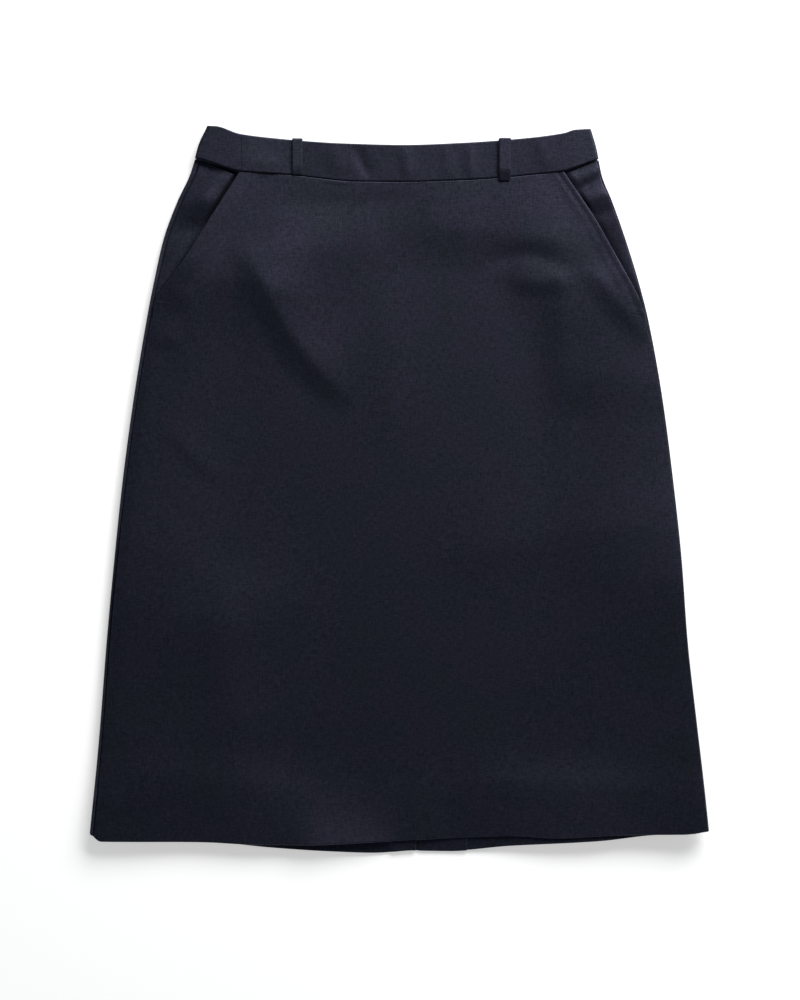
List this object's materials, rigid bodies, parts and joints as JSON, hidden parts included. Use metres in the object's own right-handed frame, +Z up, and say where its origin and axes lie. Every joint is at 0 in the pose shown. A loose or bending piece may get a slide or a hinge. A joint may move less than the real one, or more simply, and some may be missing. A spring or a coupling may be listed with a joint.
{
  "type": "a-line skirt",
  "caption": "Knee-length A-line skirt laid flat on its back: slanted front pockets, waistband with belt loops, vented back hem.",
  "frame": {"origin": "centre of the laid skirt's outline, on the surface it lies on", "axes": "+X to the right as seen from above, +Y from hem to waist, +Z up from the surface, out of the front"},
  "size_m": [0.5867, 0.6905, 0.0162],
  "materials": {
    "suiting": "plain-woven navy worsted suiting, pressed, faint sheen",
    "band_suiting": "the same suiting over a pressed stiffening",
    "zip_tape": "knitted polyester tape"
  },
  "bodies": {
    "root": {"front_panel": "suiting", "back_panel_left": "suiting", "back_panel_right": "suiting", "pocket_facing_left": "suiting", "pocket_facing_right": "suiting", "waistband": "band_suiting", "belt_loop_front_left": "band_suiting", "belt_loop_front_right": "band_suiting", "belt_loop_back_left": "band_suiting", "belt_loop_back_right": "band_suiting", "zip_centre_back": "zip_tape"}
  },
  "joints": []
}
